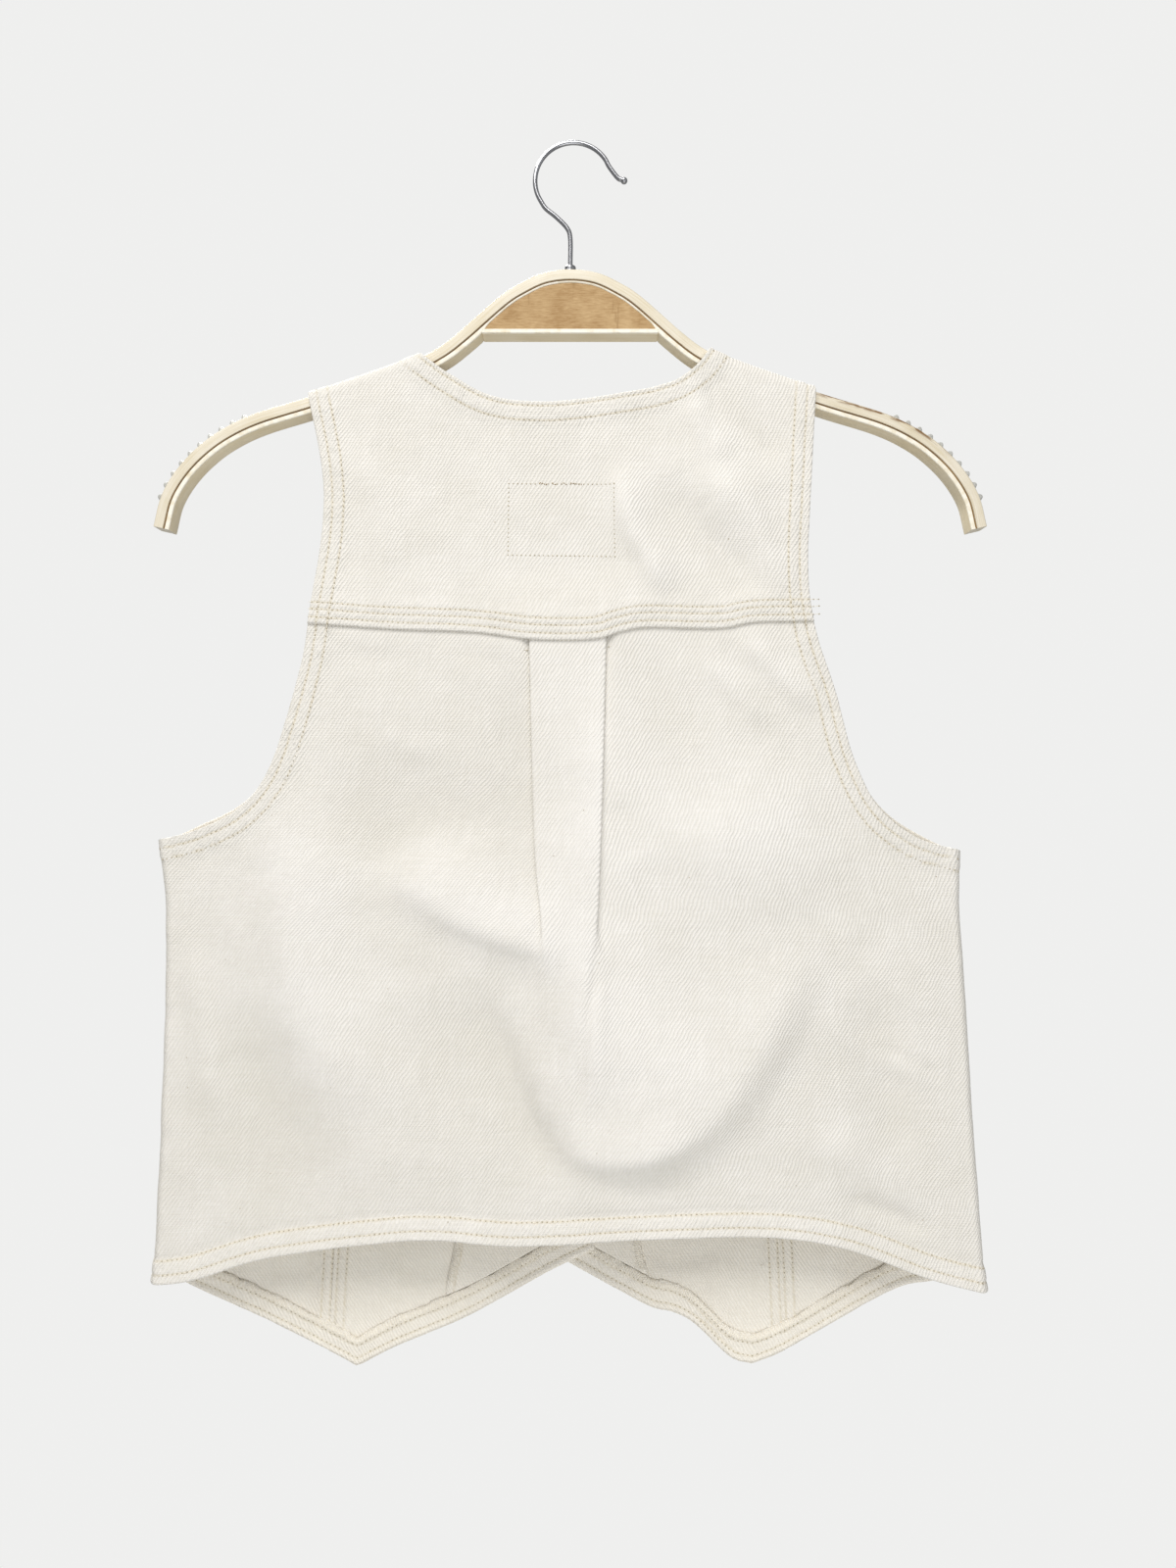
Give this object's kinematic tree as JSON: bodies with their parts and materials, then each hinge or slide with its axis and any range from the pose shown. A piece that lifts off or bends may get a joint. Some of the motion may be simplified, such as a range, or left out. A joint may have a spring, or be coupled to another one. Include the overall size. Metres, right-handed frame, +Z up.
{
  "type": "denim vest on hanger",
  "caption": "Sleeveless denim waistcoat with a yoke, a box pleat and pointed fronts, hanging on a contoured hanger with a wire hook.",
  "frame": {"origin": "inner top of the hook's bend, where it rests on a rail or peg", "axes": "+X to the right of the garment's back view, +Y out of its front, +Z up"},
  "size_m": [0.4312, 0.0441, 0.6412],
  "materials": {
    "cream_denim": "twill weave, unbleached, matte",
    "cream_paint": "satin cream paint, worn on the edges",
    "bare_beech": "bare, lightly marked",
    "chromed_wire": "bright",
    "clear_rubber": "clear, slightly cloudy",
    "nickel_button": "satin"
  },
  "bodies": {
    "root": {"back_yoke": "cream_denim", "back_panel": "cream_denim", "side_front_left": "cream_denim", "side_front_right": "cream_denim", "centre_front_left": "cream_denim", "centre_front_right": "cream_denim", "hem_facing_left": "cream_denim", "hem_facing_right": "cream_denim", "front_facing_left": "cream_denim", "front_facing_right": "cream_denim", "button_1": "nickel_button", "button_2": "nickel_button", "button_3": "nickel_button", "button_4": "nickel_button", "button_5": "nickel_button", "hanger_board": "cream_paint", "crest_panel": "bare_beech", "hook": "chromed_wire", "hook_ferrule": "chromed_wire", "grip_left": "clear_rubber", "grip_right": "clear_rubber"}
  },
  "joints": []
}
